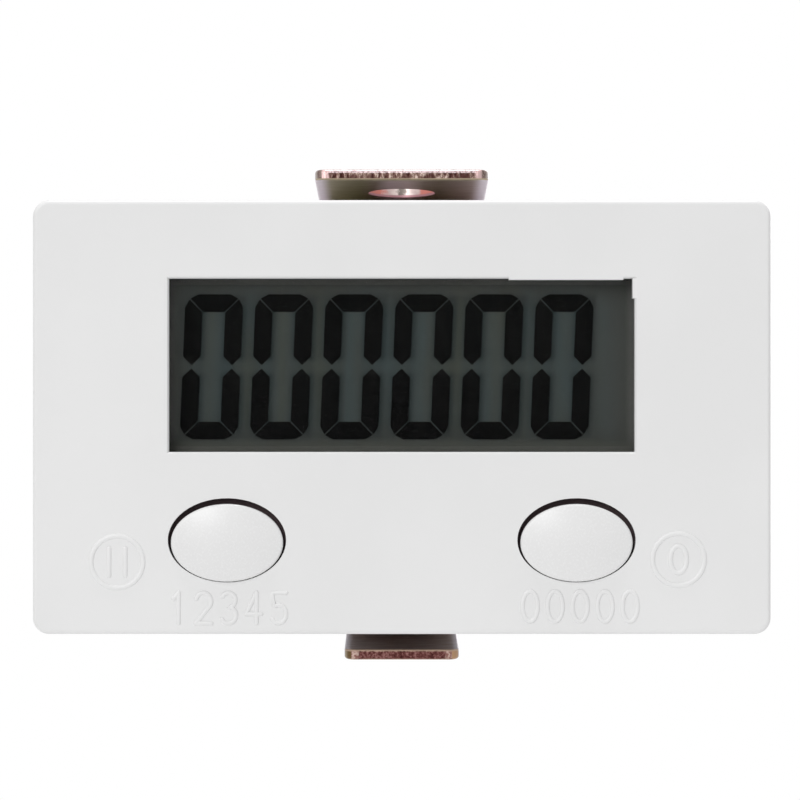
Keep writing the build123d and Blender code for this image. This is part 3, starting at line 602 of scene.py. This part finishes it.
def bracket_finish(name):
    """Yellow passivated steel: iridescent faces, a hole and sheared ends, with painted shade,
    painted light, painted reflections and painted highlights.
    """
    material, tree, shader, place = surface(name, 0.34)
    spot = bracket_spot(tree, place)
    film, rim = bracket_film(tree, place, spot)
    wall, on_wall = bracket_hole(tree, place, spot)
    torn, on_end, tears = bracket_ends(tree, place, spot)
    marks = noise(tree, stretched(tree, place, 400.0, 2600.0, 400.0), 1.0, 3.0)
    height = maths(tree, "ADD", maths(tree, "MULTIPLY", marks, 0.1),
                   maths(tree, "MULTIPLY", tears, on_end))
    # Less metal where the rims' painted reflections and the hole wall's painted light lie, so
    # that their pale colours show
    dull = maths(tree, "MAXIMUM", rim, on_wall)
    feed(tree, shader,
         Base_Color=mixed(tree, on_end, mixed(tree, on_wall, film, wall), torn),
         Metallic=mixed_number(tree, dull, 1.0, 0.4),
         Roughness=between(tree, marks, 0.2, 0.8, 0.28, 0.44),
         Normal=relief(tree, height, sheared_relief))
    return material


def laminate(name):
    """Green solder mask over copper tracks."""
    material, tree, shader, place = surface(name, 0.3, Coat_Weight=0.3)
    over_copper = (0.05, 0.24, 0.07)
    over_board = (0.015, 0.12, 0.04)
    tracks = add(tree, "ShaderNodeTexVoronoi", {"Vector": place, "Scale": 480.0},
                 feature="DISTANCE_TO_EDGE")
    off_track = between(tree, tracks.outputs[0], 0.06, 0.1)
    feed(tree, shader,
         Base_Color=mixed(tree, off_track, over_copper, over_board),
         Normal=relief(tree, off_track, -track_relief))
    return material


# The pale print on the cell's sleeve, from its nub's end
sleeve_band = 9.0 * mm
sleeve_ring_start = 10.0 * mm
sleeve_ring_end = 11.1 * mm
sleeve_blur = 0.1 * mm


def printed_sleeve(name):
    """Shrink film on the cell: plain green with a pale band and ring at the nub's end."""
    material, tree, shader, place = surface(name, 0.24, Coat_Weight=0.4)
    green = (0.02, 0.11, 0.045)
    pale = (0.72, 0.72, 0.70)
    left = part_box("battery_sleeve")[0].x
    ring_start = left + sleeve_ring_start
    ring_end = left + sleeve_ring_end
    x = parts_of(tree, place)[0]
    band = between(tree, x, left + sleeve_band, left + sleeve_band - sleeve_blur)
    ring = plateau(tree, x, ring_start, ring_start + sleeve_blur,
                   ring_end - sleeve_blur, ring_end)
    body = mixed(tree, ring, green, pale)
    wrinkles = noise(tree, stretched(tree, place, 60.0, 500.0, 500.0), 1.0, 3.0)
    feed(tree, shader,
         Base_Color=mixed(tree, band, body, pale),
         Normal=relief(tree, wrinkles, wrinkle_relief))
    return material


def dress(material, *names):
    """Gives the named pieces of the model a material."""
    for name in names:
        slots = nodes[name].data.materials
        slots.clear()
        slots.append(material)


def finish_of(name):
    return nodes[name].data.materials[0]


housing = moulded("housing_white", shade(0.763), 0.42)
dress(housing, "front_shell", "rear_case", "battery_door")
dress(button_finish("cap_white"), "pause_button_cap", "reset_button_cap")
dress(see_through("display_polariser", 0.06, 0.16, (0.004, 0.004, 0.004)),
      "lcd_front_polariser")
dress(see_through("display_glass", 0.02, 0.0, (0.02, 0.03, 0.025)), "lcd_front_glass")
dress(display_ground("display_ground"), "lcd_rear_glass", "lcd_reflector")
dress(dark_segment("display_segment"), "lcd_segments")
dress(edge_seal("display_seal"), "lcd_seal")
dress(moulded("holder_plastic", (0.75, 0.75, 0.73), 0.5), "lcd_holder")
dress(moulded("connector_rubber", (0.5, 0.5, 0.52), 0.65, 1500.0, rubber_relief),
      "connector_strip_upper", "connector_strip_lower")
dress(laminate("board_laminate"), "circuit_board")
dress(moulded("resin_black", shade(0.012), 0.2, 400.0), "controller_blob")
dress(moulded("capacitor_sleeve", (0.02, 0.03, 0.09), 0.25, 700.0), "filter_capacitor")
dress(moulded("ceramic_tan", (0.42, 0.30, 0.18), 0.4, 4000.0), "board_capacitors")
dress(moulded("resistor_black", shade(0.02), 0.3, 4000.0), "board_resistors")
dress(see_through("reed_glass", 0.25, 0.05, (0.35, 0.5, 0.4)), "reed_switch_glass")
dress(metal("reed_metal", (0.60, 0.58, 0.55), 0.3), "reed_switch_leads")
dress(moulded("switch_plastic", shade(0.02), 0.45), "pause_switch_base",
      "reset_switch_base", "pause_switch_plunger", "reset_switch_plunger")
dress(metal("switch_steel", shade(0.6), 0.28, (4.0, 1.0, 1.0)), "pause_switch_cover",
      "reset_switch_cover", "pause_switch_dome", "reset_switch_dome")
dress(metal("terminal_tin", shade(0.65), 0.4), "switch_terminals")
dress(metal("can_metal", shade(0.62), 0.3, (1.0, 5.0, 5.0)), "timing_crystal",
      "battery_cell")
dress(printed_sleeve("cell_sleeve"), "battery_sleeve")
dress(metal("contact_nickel", (0.65, 0.63, 0.60), 0.22, (1.0, 1.0, 6.0)),
      "battery_spring", "battery_plate_contact", "battery_spring_contact")
dress(metal("screw_zinc", (0.60, 0.62, 0.64), 0.3), "case_screws", "board_screws")
dress(turned("zinc_turned", (0.62, 0.64, 0.66), 0.3), "clamp_stud", "clamp_washer")
dress(turned("nut_brass", (0.72, 0.55, 0.24), 0.28), "clamp_nut")
dress(bracket_finish("bracket_passivated"), "clamp_bracket")


# Raised marks on the face

# How far the marks stand out of the face, and how far their feet run into it
mark_height = 0.12 * mm
mark_sunk = 0.02 * mm

# Steps over a ridge's half round, and round each of its ends
profile_steps = 6
end_steps = 4


def half_round(middle, across, half_width, height):
    """Points of a half round that stands on the face, each with its height."""
    points = []
    for step in range(profile_steps + 1):
        angle = math.pi * step / profile_steps
        offset = half_width * math.cos(angle)
        points.append((middle + across * offset, height * math.sin(angle)))
    return points


# A cross-section of a ridge: where it is, which way the ridge runs and its share of the
# whole width and height
Section = namedtuple("Section", "point along share")


def ridge_sections(path, width, closed):
    """Cross-sections along a path on the face, shrinking round its open ends."""
    count = len(path)
    sections = []
    for i, point in enumerate(path):
        before = path[(i - 1) % count] if closed or i else point
        after = path[(i + 1) % count] if closed or i < count - 1 else point
        sections.append(Section(point, (after - before).normalized(), 1.0))
    if not closed:
        first, last = sections[0], sections[-1]
        for step in range(1, end_steps + 1):
            angle = math.pi / 2 * step / (end_steps + 0.5)
            reach = width / 2 * math.sin(angle)
            share = math.cos(angle)
            sections.insert(0, Section(first.point - first.along * reach, first.along, share))
            sections.append(Section(last.point + last.along * reach, last.along, share))
    return sections


def ridge(mesh, path, width, closed):
    """Adds a rounded ridge along a path on the face, its ends rounded too."""
    loops = []
    for point, along, share in ridge_sections(path, width, closed):
        across = Vector((-along.y, along.x))
        half = across * width / 2 * share
        loop = [mesh.verts.new((p.x, face_y - h, p.y))
                for p, h in half_round(point, across, width / 2 * share, mark_height * share)]
        for p in (point - half, point + half):
            loop.append(mesh.verts.new((p.x, face_y + mark_sunk, p.y)))
        loops.append(loop)
    pairs = list(zip(loops, loops[1:])) + ([(loops[-1], loops[0])] if closed else [])
    for here, there in pairs:
        for i in range(len(here)):
            j = (i + 1) % len(here)
            mesh.faces.new((here[i], here[j], there[j], there[i]))
    if not closed:
        mesh.faces.new(loops[0])
        mesh.faces.new(reversed(loops[-1]))


def raised_marks(name, strokes, width):
    """A group of ridges as one piece of the case. Each stroke is a path and whether it closes."""
    mesh = bmesh.new()
    for path, closed in strokes:
        ridge(mesh, path, width, closed)
    bmesh.ops.recalc_face_normals(mesh, faces=mesh.faces)
    piece = piece_of(mesh, name, housing)
    piece.data.shade_smooth()
    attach(piece, "case")


def curve(*points):
    """An open stroke through points."""
    return [Vector(point) for point in points], False


def arc(x, z, width, height, first, last):
    """Part of an oval about a middle, from one angle in degrees to another."""
    steps = max(4, round(abs(last - first) / 12))
    turns = [math.radians(first + (last - first) * i / steps) for i in range(steps + 1)]
    return [Vector((x + width / 2 * math.cos(t), z + height / 2 * math.sin(t)))
            for t in turns]


def nought(x, z, width, height):
    """An upright oval about a middle."""
    return arc(x, z, width, height, 0, 360)[:-1], True


def bar(x, z, length):
    """An upright stroke about a middle."""
    return curve((x, z - length / 2), (x, z), (x, z + length / 2))


def numeral(digit, x, z, width, height):
    """The strokes of a plain numeral from 1 to 5 about a middle."""
    left, right = x - width / 2, x + width / 2
    low, top = z - height / 2, z + height / 2
    if digit == 1:
        return [curve((x - 0.32 * width, top - 0.2 * height), (x, top)), bar(x, z, height)]
    if digit == 2:
        bowl = arc(x, top - 0.28 * height, width, 0.56 * height, 165, -35)
        return [(bowl + [Vector((left, low))], False), curve((left, low), (right, low))]
    if digit == 3:
        upper = arc(x, top - 0.24 * height, 0.9 * width, 0.48 * height, 150, -90)
        lower = arc(x, low + 0.26 * height, width, 0.52 * height, 90, -150)
        return [(upper + lower[1:], False)]
    if digit == 4:
        foot = low + 0.3 * height
        post = x + 0.2 * width
        return [curve((post, top), (left, foot)), curve((left, foot), (right, foot)),
                bar(post, z, height)]
    hook = arc(x, low + 0.3 * height, width, 0.6 * height, 125, -145)
    return [([Vector((right, top)), Vector((left + 0.1 * width, top))] + hook, False)]


# Middles of the four marked places, in pixels of the photograph
left_sign_px = (117.0, 562.0)
right_sign_px = (678.5, 559.5)
left_row_px = (228.5, 608.0)
right_row_px = (580.0, 606.5)

# A sign is a ring round two bars or a nought
sign_r = 2.4 * mm
sign_height = 2.5 * mm
sign_bar_gap = 1.5 * mm
sign_nought_w = 1.5 * mm
sign_stroke = 0.46 * mm

# A row is five numerals
row_count = 5
row_pitch = 2.3 * mm
row_width = 1.4 * mm
row_height = 2.8 * mm
row_stroke = 0.42 * mm


def sign_ring(x, z):
    return nought(x, z, 2 * sign_r, 2 * sign_r)


def pause_sign():
    x, z = on_face(*left_sign_px)
    bars = [bar(x + side * sign_bar_gap / 2, z, sign_height) for side in (-1, 1)]
    raised_marks("pause_sign", [sign_ring(x, z)] + bars, sign_stroke)


def reset_sign():
    x, z = on_face(*right_sign_px)
    strokes = [sign_ring(x, z), nought(x, z, sign_nought_w, sign_height)]
    raised_marks("reset_sign", strokes, sign_stroke)


def row_middles(x):
    """Middles of a row's numerals, from left to right."""
    return [x + (i - (row_count - 1) / 2) * row_pitch for i in range(row_count)]


def counting_row():
    x, z = on_face(*left_row_px)
    strokes = []
    for i, middle in enumerate(row_middles(x)):
        strokes += numeral(i + 1, middle, z, row_width, row_height)
    raised_marks("counting_row", strokes, row_stroke)


def nought_row():
    x, z = on_face(*right_row_px)
    strokes = [nought(middle, z, row_width, row_height) for middle in row_middles(x)]
    raised_marks("nought_row", strokes, row_stroke)


pause_sign()
reset_sign()
counting_row()
nought_row()


# Threaded stud

stud_r = 2.0 * mm
stud_head_t = 2.8 * mm
stud_tip = 0.4 * mm
thread_pitch = 0.7 * mm
thread_depth = 0.35 * mm

# The flanks are a little steeper than a plain zigzag's, which leaves the crests flat
flank_steepness = 1.15

# Points round the thread, and rings of them in each turn
thread_sides = 28
thread_rings = 8


def threaded_stud():
    """The stud with its thread, and its six-sided head inside the case."""
    low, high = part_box("clamp_stud")
    head_back = low.y + stud_head_t
    mesh = bmesh.new()
    loops = []

    def loop(y, radius):
        turn = [2 * math.pi * i / thread_sides for i in range(thread_sides)]
        loops.append([mesh.verts.new((radius(t) * math.cos(t), y, radius(t) * math.sin(t)))
                      for t in turn])

    def six_sided(t):
        part = (t + math.pi / 6) % (math.pi / 3) - math.pi / 6
        return high.x / math.cos(part)

    def thread(y, most):
        def radius(t):
            wave = abs(((y / thread_pitch + t / (2 * math.pi)) % 1.0) * 2 - 1)
            height = thread_depth * min(1.0, wave * flank_steepness)
            return min(stud_r - thread_depth + height, most)
        return radius

    loop(low.y, six_sided)
    loop(head_back, six_sided)
    length = high.y - head_back
    count = round(length / thread_pitch * thread_rings)
    for i in range(count + 1):
        y = head_back + length * i / count
        loop(y, thread(y, min(stud_r, stud_r - stud_tip + (high.y - y))))
    for here, there in zip(loops, loops[1:]):
        for i in range(thread_sides):
            j = (i + 1) % thread_sides
            mesh.faces.new((here[i], here[j], there[j], there[i]))
    mesh.faces.new(loops[0])
    mesh.faces.new(reversed(loops[-1]))
    bmesh.ops.recalc_face_normals(mesh, faces=mesh.faces)
    piece = piece_of(mesh, "threaded_stud", finish_of("clamp_stud"))
    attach(piece, "case")
    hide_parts("clamp_stud")


threaded_stud()


# Front pane of the display

pane_gap = 0.01 * mm


def front_pane():
    """The display's front glass, a hair clear of the segments that touch its back. Faces in
    one plane would let some rays slip past the segments' fronts."""
    low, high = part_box("lcd_front_glass")
    high.y -= pane_gap
    mesh = bmesh.new()
    bmesh.ops.create_cube(mesh, size=1.0)
    for vert in mesh.verts:
        vert.co = Vector(low[i] if vert.co[i] < 0 else high[i] for i in range(3))
    piece = piece_of(mesh, "front_pane", finish_of("lcd_front_glass"))
    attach(piece, "case")
    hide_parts("lcd_front_glass")


front_pane()


# Floor, background, lamps and camera

floor_z = -90 * mm
floor_side = 800 * mm
ambient = 0.51


def shown_rays(tree):
    """One for rays that show the background: to the camera, in a gloss or through glass."""
    path = add(tree, "ShaderNodeLightPath").outputs
    most = maths(tree, "MAXIMUM", path["Is Camera Ray"], path["Is Glossy Ray"])
    return maths(tree, "MAXIMUM", most, path["Is Transmission Ray"])


def pale_floor():
    mesh = bmesh.new()
    bmesh.ops.create_grid(mesh, x_segments=8, y_segments=8, size=floor_side / 2)
    material, tree, shader, _ = surface("floor_white", 0.9, Specular_IOR_Level=0.0)
    feed(tree, shader, Base_Color=mixed(tree, shown_rays(tree), shade(0.8), shade(0.93)))
    piece = piece_of(mesh, "floor", material)
    piece.location.z = floor_z


def white_world():
    world = bpy.data.worlds.new("studio")
    bpy.context.scene.world = world
    world.use_nodes = True
    tree = world.node_tree
    background = tree.nodes["Background"]
    level = mixed(tree, shown_rays(tree), shade(ambient), shade(1.0))
    tree.links.new(level, background.inputs["Color"])


def softbox(name, direction, distance, side, level):
    """A square lamp that lights a white surface facing it to a level of its own colour."""
    lamp = bpy.data.lights.new(name, "AREA")
    lamp.size = side
    lamp.energy = level * math.pi ** 2 * distance ** 2
    piece = bpy.data.objects.new(name, lamp)
    towards = Vector(direction).normalized()
    piece.location = towards * distance
    piece.rotation_euler = towards.to_track_quat("Z", "Y").to_euler()
    bpy.context.scene.collection.objects.link(piece)


def front_camera():
    """A camera square to the face, placed so that the face lies as in the photograph."""
    view = bpy.data.cameras.new("camera")
    view.sensor_width = sensor_width_mm
    view.lens = sensor_width_mm * camera_distance / (photo_px * metres_per_px)
    view.clip_start = clip_start
    camera = bpy.data.objects.new("camera", view)
    camera.location = (camera_x, face_y - camera_distance, camera_z)
    camera.rotation_euler = (math.pi / 2, 0.0, 0.0)
    bpy.context.scene.collection.objects.link(camera)
    bpy.context.scene.camera = camera


pale_floor()
white_world()
softbox("key", (-0.44, -0.74, 0.52), distance=3.0, side=1.6, level=0.21)
softbox("front_left", (-0.27, -0.92, 0.29), distance=3.0, side=0.9, level=0.18)
softbox("overhead", (0.0, 0.0, 1.0), distance=2.0, side=0.6, level=0.50)
softbox("from_behind", (0.35, 0.85, 0.3), distance=3.0, side=1.8, level=0.3)
front_camera()
bpy.context.scene.view_settings.view_transform = "Standard"
